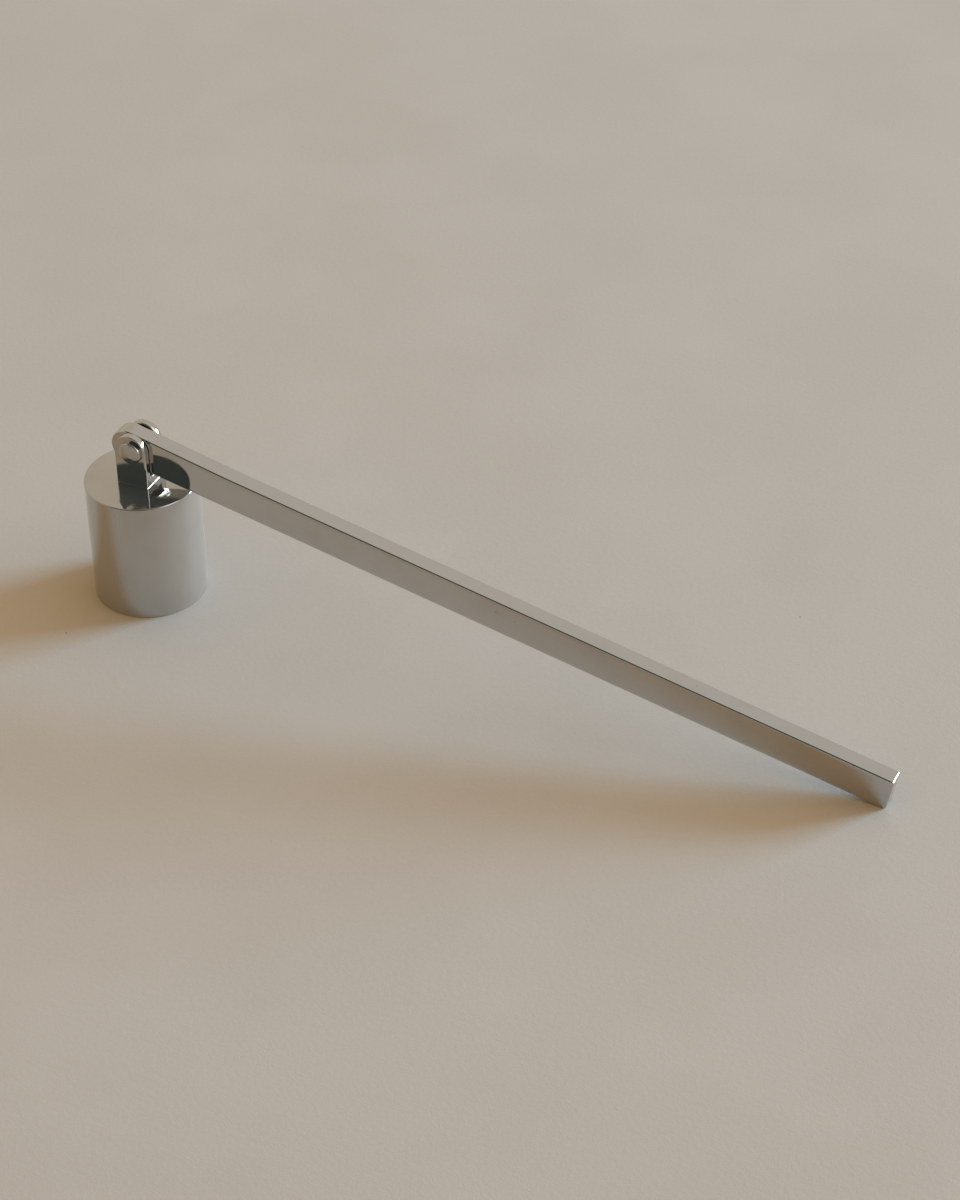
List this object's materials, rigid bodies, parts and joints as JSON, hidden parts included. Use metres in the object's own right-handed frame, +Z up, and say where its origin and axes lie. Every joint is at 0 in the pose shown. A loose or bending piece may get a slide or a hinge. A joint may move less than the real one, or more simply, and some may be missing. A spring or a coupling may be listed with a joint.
{
  "type": "candle snuffer",
  "caption": "Candle snuffer: a plain round metal cup with a clevis on its top, and a long flat bar handle that swings between the clevis's ears on a rivet.",
  "frame": {"origin": "centre of the cup's mouth, in the plane of its rim, which is the surface that the snuffer stands on", "axes": "+Z up along the cup's axis, out through the clevis; +X along the handle as it lies at rest, from the rivet to the handle's far end; +Y along the rivet"},
  "size_m": [0.1873, 0.025, 0.0419],
  "materials": {
    "cup_chrome": "polished plate, lightly hazed",
    "clevis_chrome": "polished plate",
    "screw_steel": "plain zinc-plated steel",
    "rivet_steel": "plated, its formed head slightly hammered",
    "handle_chrome": "polished plate, lightly hazed"
  },
  "bodies": {
    "cup": {"cup": "cup_chrome", "clevis": "clevis_chrome", "clevis_screw": "screw_steel", "pivot_rivet": "rivet_steel"},
    "handle": {"handle": "handle_chrome"}
  },
  "joints": [
    {"name": "handle_swing", "type": "hinge", "parent": "cup", "child": "handle", "pos_m": [0, 0, 0.03815], "axis": [0, 1, 0], "range_deg": [-214.5, 5.5]}
  ]
}
